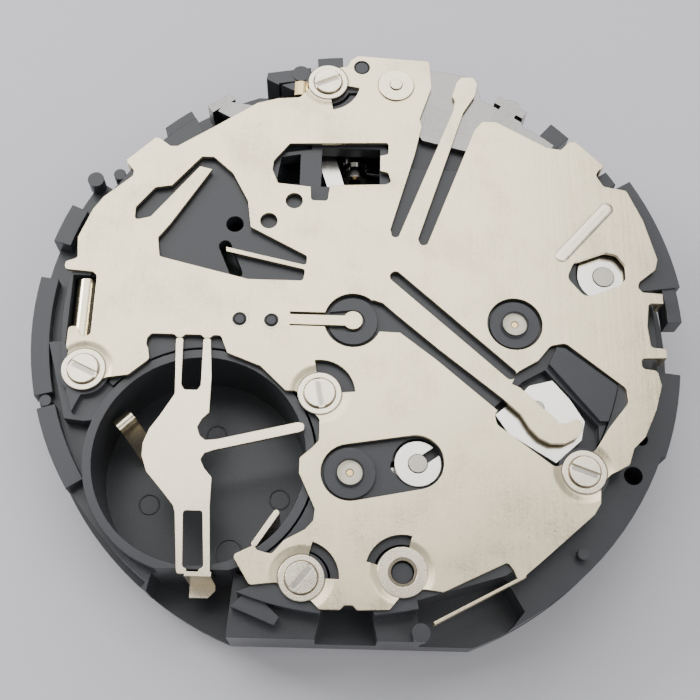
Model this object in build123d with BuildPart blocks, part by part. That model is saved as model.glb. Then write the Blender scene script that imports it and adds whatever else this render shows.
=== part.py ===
from build123d import *
import os
from math import atan2, ceil, cos, degrees, radians, sin

os.makedirs("parts", exist_ok=True)

# A quartz chronograph movement, lying with its dial side down and its battery side up.
# +X points to 12 o'clock, +Y to the winding stem at 3 o'clock, +Z away from the dial.
# The origin is on the axis of the hands, in the plane that the dial rests on.

# Driving sizes of the whole movement
plate_diameter = 30.8
flat_share = 288
cell_height = 3.6
well_radius = 4.8
sheet = 0.2
seam = 0.02
gap = 0.1
slack = 0.03
overrun = 0.4

# Places are read on a grid of 308 parts to the plate's diameter
grid = plate_diameter / 308
flat_span = flat_share * grid
plate_radius = plate_diameter / 2


def at(x_share, y_share):
    return (x_share * grid, y_share * grid)


def spots(shares):
    return [at(x, y) for x, y in shares]


# Levels above the dial plane
well_floor = 0.45
guard_thickness = 0.08
date_level = 0.1
date_thickness = 0.12
date_depth = 0.28
hour_level = 0.4
day_level = 0.42
driver_level = 0.57
cannon_level = 0.74
works_depth = 1.0
base_top = 1.1
web_top = 1.6
stator_thickness = 0.3
bridge_thickness = 0.3
cell_play = 0.5
cover_bottom = well_floor + cell_height + cell_play
cover_top = cover_bottom + sheet
flange_drop = 1.15
flange_top = cover_bottom - flange_drop
lug_root = 0.3
lug_floor = flange_top - lug_root
rim_rise = 1.0
wheel_thickness = 0.12
center_level = web_top + gap
third_level = center_level + wheel_thickness + 1.8 * gap
fifth_level = third_level + wheel_thickness + 1.8 * gap
train_bridge_floor = 2.65
train_bridge_top = train_bridge_floor + bridge_thickness
first_level = train_bridge_top + gap
second_level = first_level + wheel_thickness + 0.5 * gap
hammer_level = second_level + wheel_thickness + 0.5 * gap
hammer_thickness = 0.15
upper_bridge_floor = hammer_level + hammer_thickness + gap
bridge_drop = 0.13
upper_bridge_top = cover_bottom - bridge_drop
lever_thickness = 0.3
lever_drop = 0.25
lever_top = cover_bottom - lever_drop
lever_level = lever_top - lever_thickness
reset_level = cover_bottom - lever_thickness - 0.5 * gap
boss_rise = 0.07
boss_top = cover_bottom + boss_rise

# Main plate
pocket_share, shelf_share, reach_share = 126, 135, 160
pocket_radius = pocket_share * grid
shelf_radius = shelf_share * grid
reach_limit = reach_share * grid
rim_center = at(2.5, 0)
cup_wall = 0.4
cup_radius = well_radius + cup_wall
pad_radius = 1.15
pillar_radius = 0.7
cup_top = cover_bottom - bridge_drop
date_outer_share, date_inner_share, date_tooth_share = 139, 109, 103.5
date_ring_outer = date_outer_share * grid
date_ring_inner = date_inner_share * grid
date_tooth_tip = date_tooth_share * grid
works_reach_share, land_share, guard_share = 96, 102, 107
works_radius = works_reach_share * grid
land_radius = land_share * grid
guard_radius = guard_share * grid
stud_radius = 0.3
pivot_depth = 0.2
stem_radius = 0.6
stem_level = 2.3
stem_bore_share = 116
stem_bore_end = stem_bore_share * grid
foot_hole_radius = 0.4
foot_hole_depth = 0.9
foot_angles = [35, 215]
foot_share = 145.5
cell_place = at(-67.5, -67.5)
cup_clearance = 1.0
cup_clear_radius = cup_radius + cup_clearance

# Cover screws
head_radius = 0.69
head_height = 0.35
shank_radius = 0.35
slot_width = 0.2
slot_depth = 0.18
seat_radius = 1.0
seat_hole_radius = 0.5
empty_hole_radius = 0.5
shank_length = 2.2
screw_places = spots([(-122.5, -28), (-14.5, -36.5), (-20, -120), (104.5, -70), (-15, 130.5)])
slot_angles = [-25, -80, 50, -20, 25]
empty_place = at(23.5, -116.5)

# Arbors, posts and bores of the wheels
arbor_radius = 0.15
arbor_bore_radius = arbor_radius + slack
second_arbor_radius = 0.125
second_bore_radius = second_arbor_radius + slack
center_tube_radius = 0.25
cannon_bore_radius = center_tube_radius + slack
minute_post_radius = 0.42
cannon_body_radius = 0.58
hour_bore_radius = cannon_body_radius + slack
hour_post_radius = 0.75
hour_collar_radius = 0.93
small_post_radius = 0.3
small_collar_radius = 0.47
hour_post_drop = 0.7
minute_post_drop = 1.15
second_post_drop = 1.6
small_post_drop = 1.0
bush_radius = 0.57
bush_thickness = 0.35
boss_radius = 1.17
center_hole_radius = 1.35
bush_hole_radius = 1.3

# Toothing: counts, the finest module on the grid, and the other modules as shares of it
fine_share, works_share, cannon_share, transfer_share = 1.6, 1.25, 0.9375, 1.1875
fine = fine_share * grid
works_module = works_share * fine
cannon_module = cannon_share * fine
transfer_module = transfer_share * fine
tip_share = 0.8
root_share = 1.5
tooth_share = 0.45
center_teeth, leaf_teeth = 30, 6
third_teeth = 24
fifth_teeth = 18
cannon_teeth, minute_teeth, hour_teeth, day_teeth = 10, 30, 24, 48
first_teeth, second_pinion_teeth = 36, 6
drive_teeth = 36
transfer_teeth, transfer_pinion_teeth = 36, 9
counter_teeth = 15
date_teeth = 31
setting_teeth = 12


def step(place, length, angle):
    return (place[0] + length * cos(radians(angle)), place[1] + length * sin(radians(angle)))


def reach(module, teeth, other_teeth):
    return module * (teeth + other_teeth) / 2


def mesh_turn(turn, teeth, direction, other_teeth):
    # The other wheel is turned so that one of its gaps faces a tooth of this one
    return direction + 180 - 180 / other_teeth - (turn - direction) * teeth / other_teeth


def bearing(place, other):
    return degrees(atan2(other[1] - place[1], other[0] - place[0]))


# Places of the arbors, each a tooth mesh away from the one before
hand_axis = (0, 0)
third_place = step(hand_axis, reach(works_module, center_teeth, leaf_teeth), -43)
fifth_place = step(third_place, reach(works_module, third_teeth, leaf_teeth), -30)
rotor_place = step(fifth_place, reach(works_module, fifth_teeth, leaf_teeth), -50)
first_place = step(hand_axis, reach(fine, first_teeth, second_pinion_teeth), -45.4)
drive_place = step(first_place, reach(fine, first_teeth, drive_teeth), 25)
transfer_place = step(first_place, reach(transfer_module, transfer_teeth, leaf_teeth), -64.7)
idler_place = step(transfer_place, reach(fine, transfer_pinion_teeth, counter_teeth), -152.8)
counter_place = step(idler_place, reach(fine, counter_teeth, counter_teeth), -170)
minute_place = step(hand_axis, reach(cannon_module, cannon_teeth, minute_teeth), -35)
day_place = step(hand_axis, reach(works_module, hour_teeth, day_teeth), 90)
driver_place = step(hand_axis, reach(works_module, hour_teeth, day_teeth), 150)
setting_place = at(0, 71)
setting_pivot = at(-19, 109)
yoke_pivot = at(30, 94)
chrono_rotor_place = step(drive_place, reach(fine, drive_teeth, leaf_teeth), -25)


def disc(level, height, radius, place=(0, 0), mode=Mode.ADD):
    with BuildSketch(Plane.XY.offset(level)) as outline:
        with Locations(place):
            Circle(radius)
    extrude(outline.sketch, amount=height, mode=mode)


def slab(level, height, points, mode=Mode.ADD):
    with BuildSketch(Plane.XY.offset(level)) as outline:
        Polygon(*points, align=None)
    extrude(outline.sketch, amount=height, mode=mode)


def rod(start_y, end_y, radius, x, level, mode=Mode.ADD):
    # A bar along Y, the way that the stem goes in
    with BuildSketch(Plane.XZ.offset(-end_y)) as outline:
        with Locations((x, level)):
            Circle(radius)
    extrude(outline.sketch, amount=end_y - start_y, mode=mode)


def hull(level, height, circles, mode=Mode.ADD):
    # The outline is a tight band round some circles, given as place and radius
    with BuildSketch(Plane.XY.offset(level)) as outline:
        for place, radius in circles:
            with Locations(place):
                Circle(radius)
        make_hull()
    extrude(outline.sketch, amount=height, mode=mode)


def toothed(level, height, teeth, module, place, turn):
    # Each tooth has a flat tip, and the gap between two teeth is a plain V
    pitch_radius = module * teeth / 2
    tip_radius = pitch_radius + tip_share * module
    root_radius = pitch_radius - root_share * module
    half_tip = degrees(tooth_share * module / tip_radius) / 2
    points = []
    for tooth in range(teeth):
        middle = turn + tooth * 360 / teeth
        points.append(step(place, tip_radius, middle - half_tip))
        points.append(step(place, tip_radius, middle + half_tip))
        points.append(step(place, root_radius, middle + 180 / teeth))
    slab(level, height, points)


def heart(level, height, place, low, high, turn):
    # The radius grows evenly from the notch to the nose, alike on both sides
    steps = 12
    points = []
    for number in range(2 * steps):
        share = abs(number - steps) / steps
        points.append(step(place, high - (high - low) * share, turn + 180 * (number - steps) / steps))
    slab(level, height, points)


def write(piece, label):
    piece.part.label = label
    export_step(piece.part, "parts/" + label + ".step")


# Cover: a pressed sheet with a plain outline, then its seats, windows, slots and bent tabs
cover_shares = [
    (-3.5, 144.5), (0, 147), (36.5, 145), (37.5, 129), (31.5, 110.5), (32.5, 106), (29, 90),
    (17.2, 48), (18, 43.8), (21, 43.8), (48.5, 116), (49.5, 122), (48, 124.5), (50.5, 133), (53, 136),
    (59, 136), (61, 132), (59.5, 125), (53.5, 115), (47.5, 96), (30.5, 43), (32, 39.5), (35, 40.5),
    (52, 86), (59, 105), (63, 110), (70, 110), (95, 96), (102, 95), (106, 99.5), (109, 99.8),
    (123, 86), (120, 84), (118.5, 81), (122, 75), (133, 73), (140, 57), (145.5, 36), (144, 30.5),
    (136, 24), (135, 21), (137, 18.5), (146.5, 18), (146.5, 13), (139.5, 13), (138, 1), (139, -9.5),
    (146, -10), (146, -14.5), (134, -15), (134, -20), (141, -21), (142.5, -28), (139, -40),
    (133, -53), (127.5, -58.5), (125, -66), (116, -71), (111.5, -76), (111, -84), (108, -89),
    (83, -111), (77, -116), (75, -119), (72.6, -117.4), (71.5, -114.5), (69, -111), (41, -124.5),
    (33, -123.5), (27, -124.5), (22, -127.5), (18, -132.5), (4, -133), (2.5, -131), (-1.5, -131),
    (-3, -133), (-12, -133), (-16, -129), (-30, -122), (-42, -123.5), (-50, -111), (-41, -106.5),
    (-39.5, -108.5), (-36, -109.5), (-33, -110), (-28, -104), (-19, -99), (-15.5, -95), (-15, -90),
    (-22.5, -74), (-22.5, -67), (-17, -62), (-14, -58.5), (-14.2, -48.5), (-20, -43), (-24, -35.5),
    (-30, -35.5), (-42, -24), (-57.5, -18), (-61, -9.5), (-65.5, -9.5), (-65.5, -11), (-69, -11),
    (-69, -9.5), (-78.5, -9.5), (-78.5, -11), (-81.5, -11), (-81.5, -9.5), (-93, -9.5), (-95, -12),
    (-93, -22), (-102, -30), (-111.5, -31.5), (-122, -36), (-131.5, -26), (-130, -19), (-131.5, -18),
    (-131.5, -7), (-127.5, -7), (-125.5, -12), (-121, -11), (-121, 19), (-123, 21), (-136.5, 22),
    (-136.5, 26), (-131, 28), (-132, 39), (-126.5, 54), (-122, 61), (-109, 73), (-108.5, 76),
    (-113, 81), (-98.5, 95.5), (-92, 90.5), (-88.5, 90.5), (-70, 103), (-50, 117), (-40, 120),
    (-29, 121), (-15, 138), (-7, 140), (-5.5, 140),
]
drop_window_shares = [
    (-106, 56), (-97.5, 67), (-89.5, 68.5), (-76, 85), (-70, 85), (-60, 76), (-52, 61), (-50, 47),
    (-22.5, 32.5), (-22.5, 27.5), (-61, 36), (-61, 33.8), (-23, 25.3), (-24, 19.5), (-50, 19.5),
    (-92.5, 30), (-94, 40), (-89, 47), (-70.5, 78), (-76.5, 79.5), (-98.5, 51), (-106, 49),
]
push_window_shares = [
    (-33, 94), (16, 96), (16, 89.5), (12, 88.5), (12, 80), (16, 79), (17.5, 74), (15, 72.5),
    (-12.5, 71), (-13.5, 62.5), (-21.5, 62.5), (-22, 70), (-38, 71.5), (-41, 79), (-40.5, 84),
]
hammer_window_shares = [
    (76, -23.5), (86, -17.5), (92, -10), (99, -8.5), (126, -30), (126.5, -37), (117, -49),
    (110, -60), (96, -66), (92, -68.5), (66, -49), (65, -44), (69, -39),
]
coupling_window_shares = [
    (101.5, 25), (105, 33), (120, 39), (126, 38), (130, 32), (130, 26), (127, 22), (113, 16), (109, 16),
]
lower_slot_shares = [(7, -5.2), (22, -5.6), (39, -18.7), (69, -44.5), (72, -39), (39.3, -12.8), (20.5, 3.2),
                     (13.9, 9.1), (8, 11)]
hook_shares = [
    (50, -12), (71.5, -28.5), (77, -31), (87.1, -40.6), (91.5, -44.3), (94.5, -47.6), (97.3, -47.6),
    (100.5, -45.9), (103, -45.6), (104.9, -47.5), (104.9, -50.5), (102.4, -53.8), (96.4, -57),
    (90, -57.2), (85, -54.8), (80.8, -50.3), (77, -43.8), (69, -36.6), (46, -17),
]
crescents = [
    (screw_places[1], 52, 95), (screw_places[2], 37, 75), (screw_places[4], -45, 70), (empty_place, 120, 90),
]
wide_hole_radius = 0.42
edge_hole_radius = 0.4
peg_hole_radius = 0.33
peg_hole_places = spots([(-52.8, -1), (-38, -1.2)])
round_holes = [
    (at(-29.7, 62), wide_hole_radius), (at(-41.5, 50.7), wide_hole_radius), (at(2, 140), edge_hole_radius),
    (at(-91, -14), edge_hole_radius), *[(place, peg_hole_radius) for place in peg_hole_places],
]
window_corner = 0.15
wide_corner = 0.4
hook_corner = 0.2
cover_corner = 0.18
clamp_corner = 0.13
crescent_radius = 1.32
crescent_width = 0.62
finger_width = 0.5
finger_tip_radius = 0.9 * finger_width
finger_slot = 0.35
finger_slot_middle, finger_slot_half = at(-14, 0), at(15.5, 0)[0]
finger_middle, finger_half = at(-14.7, -0.3), at(14.9, 0)[0]
upper_slot_radius = 0.27
upper_slot_ends = spots([(19.8, 23), (73, -24.5)])
long_hole_radius = 1.25
long_hole_end = at(29.5, -67.5)
leaf_ends = spots([(76.5, -116.7), (37, -137.6)])
tab_ends = [spots([(108.6, 99.2), (122.2, 85.8)]), spots([(-112.2, 81), (-98.7, 94.5)]),
            spots([(145.5, 18), (145.5, 13)]), spots([(145, -10), (145, -14.5)])]
leaf_height = 0.75
leaf_thickness = 0.12
tab_drop = 1.0
rivet_place = at(19.5, 129.7)
rivet_radius = 0.9
rivet_height = 0.08
rivet_hole_radius = 0.3
rivet_neck_radius = 0.45


def window(shares, corner, mode=Mode.SUBTRACT):
    # The corners are rounded by drawing the outline in and letting it out again
    with BuildSketch(mode=Mode.PRIVATE) as raw:
        Polygon(*spots(shares), align=None)
    inner = offset(raw.sketch, amount=-corner, kind=Kind.ARC, mode=Mode.PRIVATE)
    add(offset(inner, amount=corner, kind=Kind.ARC, mode=Mode.PRIVATE), mode=mode)


def soften(radius):
    # Let out and drawn in for the inner corners, then the other way for the outer ones
    for amount in (radius, -2 * radius, radius):
        offset(amount=amount, kind=Kind.ARC)


def wall(start, end, level, height, thickness):
    # An upright strip of sheet between two places
    with BuildSketch(Plane.XY.offset(level)) as strip:
        with BuildLine():
            Line(start, end)
        trace(line_width=thickness)
    extrude(strip.sketch, amount=height)


with BuildPart() as circuit_cover:
    with BuildSketch(Plane.XY.offset(cover_bottom)) as outline:
        Polygon(*spots(cover_shares), align=None)
        with Locations(*screw_places, empty_place):
            Circle(seat_radius)
        soften(cover_corner)
        for shares, corner in ((drop_window_shares, window_corner), (push_window_shares, window_corner),
                               (hammer_window_shares, wide_corner), (coupling_window_shares, wide_corner)):
            window(shares, corner)
        with BuildSketch(mode=Mode.PRIVATE) as counter_window:
            for place, radius in ((counter_place, bush_hole_radius), (long_hole_end, long_hole_radius)):
                with Locations(place):
                    Circle(radius)
            make_hull()
        add(counter_window.sketch, mode=Mode.SUBTRACT)
        with Locations(drive_place):
            Circle(bush_hole_radius, mode=Mode.SUBTRACT)
        Circle(center_hole_radius, mode=Mode.SUBTRACT)
        # The long finger is cut free by a slot on each side of it
        with BuildSketch(mode=Mode.PRIVATE) as upper_slot:
            with Locations(*upper_slot_ends):
                Circle(upper_slot_radius)
            make_hull()
        add(upper_slot.sketch, mode=Mode.SUBTRACT)
        window(lower_slot_shares, window_corner)
        window(hook_shares, hook_corner, Mode.ADD)
        # The short finger that presses on the hand axis
        with Locations(finger_slot_middle):
            Rectangle(2 * finger_slot_half, 2 * finger_slot, mode=Mode.SUBTRACT)
        with Locations(finger_middle):
            Rectangle(2 * finger_half, finger_width)
        Circle(finger_tip_radius)
        for place, angle, width in crescents:
            with BuildLine():
                CenterArc(place, crescent_radius, angle - width / 2, width)
            trace(line_width=crescent_width, mode=Mode.SUBTRACT)
        for place, radius in round_holes + [(rivet_place, rivet_neck_radius)]:
            with Locations(place):
                Circle(radius, mode=Mode.SUBTRACT)
        with Locations(*screw_places):
            Circle(seat_hole_radius, mode=Mode.SUBTRACT)
        with Locations(empty_place):
            Circle(empty_hole_radius, mode=Mode.SUBTRACT)
    extrude(amount=sheet)
    # The contact leaf stands on edge, and four tabs are bent down at the edge
    wall(*leaf_ends, cover_top - leaf_height, leaf_height, leaf_thickness)
    for start, end in tab_ends:
        wall(start, end, cover_top - tab_drop, tab_drop, sheet)
write(circuit_cover, "circuit_cover")

# Battery clamp: the strap over the cell, its two legs, the side arm and the bent hook
clamp_shares = [
    (-80, -38.5), (-86, -49), (-90, -55), (-92.5, -62), (-92.5, -68), (-90, -75), (-82, -84),
    (-77, -90), (-76, -93), (-73.5, -119.5), (-59, -119.5), (-61, -90), (-61, -77), (-64.5, -73),
    (-66.5, -69), (-65, -66), (-61, -64.5), (-23, -55), (-21, -54), (-21, -51), (-24, -50.5),
    (-60, -59.5), (-65, -60), (-67.5, -58), (-69, -54), (-67, -50), (-64, -47), (-64, -30),
]
clamp_window_shares = [(-72.5, -92), (-64, -92), (-62, -117), (-71, -117)]
clamp_slot_shares = [(-78.5, 0), (-69, 0), (-68.5, -34), (-70, -36.5), (-76, -36.5), (-77.5, -34)]
clamp_left_x, hinge_y = at(-81.5, -11)
clamp_right_x = at(-65.5, 0)[0]
hook_left, hook_y = at(-70, -119.5)
hook_right = at(-58.5, 0)[0]
hook_depth = 2.6
hook_lip = 0.65

with BuildPart() as battery_clamp:
    with BuildSketch(Plane.XY.offset(cover_bottom)):
        root_line = [(clamp_right_x, hinge_y - seam), (clamp_left_x, hinge_y - seam)]
        Polygon(*root_line, *spots(clamp_shares), align=None)
        Polygon(*spots(clamp_slot_shares), align=None, mode=Mode.SUBTRACT)
        Polygon(*spots(clamp_window_shares), align=None, mode=Mode.SUBTRACT)
        soften(clamp_corner)
    extrude(amount=sheet)
    wall((hook_left, hook_y), (hook_right, hook_y), cover_top - hook_depth, hook_depth, sheet)
    lip = [(hook_left, hook_y), (hook_right, hook_y), (hook_right, hook_y - hook_lip / 2),
           (hook_right - hook_lip / 2, hook_y - hook_lip), (hook_left, hook_y - hook_lip)]
    slab(cover_top - hook_depth, sheet, lip)
write(battery_clamp, "battery_clamp")

# Cover screws, each a slotted head in its seat and a shank in the plate
with BuildPart() as cover_screws:
    for place, angle in zip(screw_places, slot_angles):
        disc(cover_top, head_height, head_radius, place)
        disc(cover_top - shank_length, shank_length, shank_radius, place)
        with BuildSketch(Plane.XY.offset(cover_top + head_height - slot_depth)):
            with Locations(Location((*place, 0), angle)):
                Rectangle(2 * head_radius + overrun, slot_width)
        extrude(amount=slot_depth + overrun, mode=Mode.SUBTRACT)
write(cover_screws, "cover_screws")

# The rivet that carries the reset lever under the cover
with BuildPart() as cover_rivet:
    disc(cover_top, rivet_height, rivet_radius, rivet_place)
    disc(cover_top, 2 * rivet_height, rivet_hole_radius, rivet_place)
    disc(reset_level, cover_top - reset_level, rivet_neck_radius, rivet_place)
write(cover_rivet, "cover_rivet")

# Bright levers under the cover: outlines, pivots and the pins that they turn on
reset_shares = [
    (12, 121), (12, 138), (37, 141), (46, 140), (56, 138), (61, 133), (63, 124), (69, 121), (83, 112),
    (84, 109), (94, 103), (99, 99), (92, 89), (70, 90), (55, 94), (33, 99.5), (22, 118),
]
pusher_height = 1.5
pusher_thickness = 0.45
pusher_foot = spots([(74, 114), (78, 120.5)])
reset_pusher_ends = spots([(71, 125), (85, 116)])
start_pusher_ends = spots([(-74, 114), (-63, 122)])
start_place = at(-33, 103)
start_shares = [(-36, 95), (-28, 99), (-29, 110), (-52, 117), (-66, 119), (-70, 113), (-55, 105)]
second_hammer_place = at(85.5, -39)
second_hammer_shares = [
    (66, -43), (78, -33), (82, -28.5), (93, -25.5), (101, -35), (107, -45), (105, -54), (93, -65), (72, -52),
]
minute_hammer_place = at(30.5, -67)
coupling_place = at(120, 28)
coupling_edge = at(107.5, 0)[0]
coupling_end = at(118, 62)
lever_pin_radius = 0.3
hammer_pin_radius = 0.42
coupling_pin_radius = 0.5
hub_radius = 0.62
peg_radius = 0.2
notch_angle = 35
c_radius = 1.05
coupling_radius = 1.25
hammer_width = 0.5
hammer_stand_off = 1.5
hammer_notch = 0.45

with BuildPart() as reset_lever:
    slab(reset_level, lever_thickness, spots(reset_shares))
    disc(reset_level, lever_thickness, rivet_neck_radius + slack, rivet_place, Mode.SUBTRACT)
    hull(reset_level, lever_thickness, [(place, pusher_thickness) for place in pusher_foot])
    wall(*reset_pusher_ends, reset_level - pusher_height + lever_thickness, pusher_height, pusher_thickness)
write(reset_lever, "reset_lever")

with BuildPart() as start_stop_lever:
    slab(reset_level, lever_thickness, spots(start_shares))
    disc(reset_level, lever_thickness, hub_radius, start_place)
    disc(reset_level, lever_thickness, lever_pin_radius + slack, start_place, Mode.SUBTRACT)
    wall(*start_pusher_ends, reset_level - pusher_height + lever_thickness, pusher_height, pusher_thickness)
write(start_stop_lever, "start_stop_lever")


def hammer_arm(place, axis, hub):
    # A hub from the lower level up to the bright plate, and an arm that ends off the heart
    angle = bearing(axis, place)
    tip = step(axis, hammer_stand_off + hammer_width / 2, angle)
    hull(hammer_level, hammer_thickness, [(place, hammer_width / 2), (tip, hammer_width / 2)])
    disc(hammer_level, lever_top - hammer_level, hub, place)


with BuildPart() as second_hammer:
    slab(lever_level, lever_thickness, spots(second_hammer_shares))
    hammer_arm(second_hammer_place, hand_axis, hub_radius)
    disc(hammer_level, lever_top - hammer_level, lever_pin_radius + slack, second_hammer_place, Mode.SUBTRACT)
write(second_hammer, "second_hammer")

with BuildPart() as minute_hammer:
    disc(lever_level, lever_thickness, c_radius, minute_hammer_place)
    notch_start = step(minute_hammer_place, hammer_pin_radius, notch_angle)
    notch_end = step(minute_hammer_place, c_radius + overrun, notch_angle)
    notch = [(notch_start, hammer_notch / 2), (notch_end, hammer_notch / 2)]
    hull(lever_level, lever_thickness, notch, Mode.SUBTRACT)
    arm_angle = bearing(minute_hammer_place, counter_place)
    peg_place = step(minute_hammer_place, c_radius - peg_radius, arm_angle)
    arm_end = step(counter_place, hammer_stand_off + peg_radius, arm_angle + 180)
    hull(hammer_level, hammer_thickness, [(peg_place, peg_radius), (arm_end, peg_radius)])
    disc(hammer_level, lever_top - hammer_level, peg_radius, peg_place)
    disc(lever_level, lever_thickness, hammer_pin_radius + slack, minute_hammer_place, Mode.SUBTRACT)
write(minute_hammer, "minute_hammer")

with BuildPart() as coupling_lever:
    hull(lever_level, lever_thickness, [(coupling_place, coupling_radius), (coupling_end, hammer_width)])
    with BuildSketch(Plane.XY.offset(lever_level)):
        with Locations((coupling_edge - coupling_radius, coupling_place[1])):
            Rectangle(2 * coupling_radius, 4 * coupling_radius)
    extrude(amount=lever_thickness, mode=Mode.SUBTRACT)
    disc(lever_level, lever_thickness, coupling_pin_radius + slack, coupling_place, Mode.SUBTRACT)
write(coupling_lever, "coupling_lever")

# Posts that the levers turn on, each standing on its pillar or on the floor of its recess
lever_posts_list = [
    (second_hammer_place, lever_pin_radius, hammer_level - 0.5 * gap, lever_top + 0.5 * gap),
    (minute_hammer_place, hammer_pin_radius, lever_level - 0.5 * gap, lever_top + 0.5 * gap),
    (coupling_place, coupling_pin_radius, lever_level - 0.5 * gap, lever_top + 0.5 * gap),
    (start_place, lever_pin_radius, reset_level - 0.5 * gap, cover_bottom),
]
with BuildPart() as lever_posts:
    for place, radius, foot, head in lever_posts_list:
        disc(foot, head - foot, radius, place)
write(lever_posts, "lever_posts")

# Main plate: base with its flats, outer wall, shelf, battery cup, pads and pillars
board_level = 2.0
setting_level = 3.2
setting_thickness = 0.18
yoke_level = stem_level - setting_thickness / 2
pad_places = [screw_places[0], screw_places[2], screw_places[3], screw_places[4], empty_place]
train_pillars = spots([(83, -22), (-10, 46), (-2, -93)])
board_pillars = spots([(-110, 20), (-50, 85)])
pillars = [
    (screw_places[1], pillar_radius, cover_bottom),
    (second_hammer_place, hub_radius, hammer_level - 0.5 * gap),
    (coupling_place, coupling_pin_radius + gap, lever_level - 0.5 * gap),
    (start_place, hub_radius, reset_level - 0.5 * gap),
    *[(place, pillar_radius, train_bridge_floor) for place in train_pillars],
    *[(place, pillar_radius, board_level) for place in board_pillars],
    (setting_pivot, stud_radius, setting_level + setting_thickness + gap),
    (setting_place, stud_radius, board_level + setting_thickness + gap),
    (yoke_pivot, stud_radius, yoke_level + setting_thickness + gap),
]
gate_radius, ejector_radius = 0.65, 0.5
floor_rings = [(at(-55, -102), gate_radius), (at(-32.5, -76), ejector_radius), (at(-94, -80), ejector_radius),
               (at(-64, -45), ejector_radius)]
ring_groove = 0.05
ring_width = 0.06
lever_field = spots([(4, 160), (4, 113), (22, 84), (98, 82), (112, 104), (90, 140)])
start_field = spots([(-22, 93), (-40, 90), (-76, 100), (-90, 125), (-60, 140), (-24, 122)])
hook_notch = spots([(-86, -117), (-50, -117), (-53, -160), (-95, -160)])
leaf_notch = spots([(30, -128), (70, -116), (78, -130), (62, -150), (34, -150)])
front_notch = spots([(-10, -128), (10, -128), (15, -150), (-15, -150)])
crystal_x = at(-126.5, 0)[0]
crystal_radius = 0.5
crystal_start, crystal_end = at(0, -14)[1], at(0, 19)[1]
crystal_level = flange_top + crystal_radius
foot_places = [step(hand_axis, foot_share * grid, angle) for angle in foot_angles]
# Outlines on the rim, and pegs with their shares of the peg radius, each with its share of the rim rise
rim_blocks = [
    (spots([(-141, -13), (-131, -12), (-112, -32), (-107, -36), (-112, -50), (-121, -51),
            (-130, -50)]), 0.8),
    (spots([(-42, -124), (-50, -132), (-31, -139.5), (-29, -136)]), 0.85),
    (spots([(-48, 122), (-46, 137), (-24, 141), (-24, 134), (-40, 131), (-40, 122)]), 1.05),
]
rim_peg_radius = 0.5
rim_pegs = [(at(-140, -41), 0.54, 0.6), (at(-128, 73.5), 0.8, 0.8), (at(-116.7, 77.3), 0.6, 0.7),
            (at(104, -105), 0.5, 0.5), (at(-29, 137), 0.9, 1.1)]
# Stretches of the rim between two angles, each with its reach on the grid
wall_stretches = [(-180, -126, 149.5), (-126, -110, 153), (-110, -70, 156), (-70, -22, 155),
                  (-22, -6.5, 157), (-6.5, 31, 146), (31, 149, 139.5), (149, 180, 148)]
# Raised stretches, each with its two angles, its inner and outer reach and its share of the rim rise
rim_stretches = [
    (172, 195, 142, 150.5, 0.6), (197.5, 213, 142, 150.5, 0.6), (157, 165, 141, 149.5, 0.9),
    (8.5, 30.5, 132, 158, 1), (2, 9, 149.5, 156, 0.9), (31.5, 34.6, 132, 152, 0.8),
    (44.5, 49, 132, 151, 0.7), (93, 98, 134, 149, 0.9), (122.5, 133, 132, 140.5, 1),
]
small_rim_hole_radius, large_rim_hole_radius = 0.3, 0.43
rim_holes = [(at(135, -50), small_rim_hole_radius), (at(130, -67.5), large_rim_hole_radius)]
catch_pin_place = at(32, -141)
catch_pin_radius = 0.4
catch_pin_height = 0.8
pusher_field = spots([(62, 122), (78, 140), (100, 124), (84, 104)])
coupling_room = [(coupling_place, coupling_radius + gap), (coupling_end, hammer_width + 2 * gap)]
finger_share = 30.5
finger_reach = finger_share * grid
jumper_angle = -30
jumper_width = 0.45
jumper_tip = 0.08
jumper_back = 22
jumper = [(step(hand_axis, 0.83 * date_tooth_tip, jumper_angle - jumper_back), jumper_width),
          (step(hand_axis, 1.5 * gap + date_tooth_tip, jumper_angle), jumper_tip)]
guard_screw_places = [step(hand_axis, (works_radius + land_radius) / 2, angle) for angle in (20, 190, 285)]
guard_head_radius = 0.27
guard_screw_depth = 0.9


def arc_spots(start, end, share):
    # Places along an arc round the hand axis, about every three degrees
    count = ceil(abs(end - start) / 3)
    turns = [start + (end - start) * number / count for number in range(count + 1)]
    return [step(hand_axis, share * grid, turn) for turn in turns]


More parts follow.
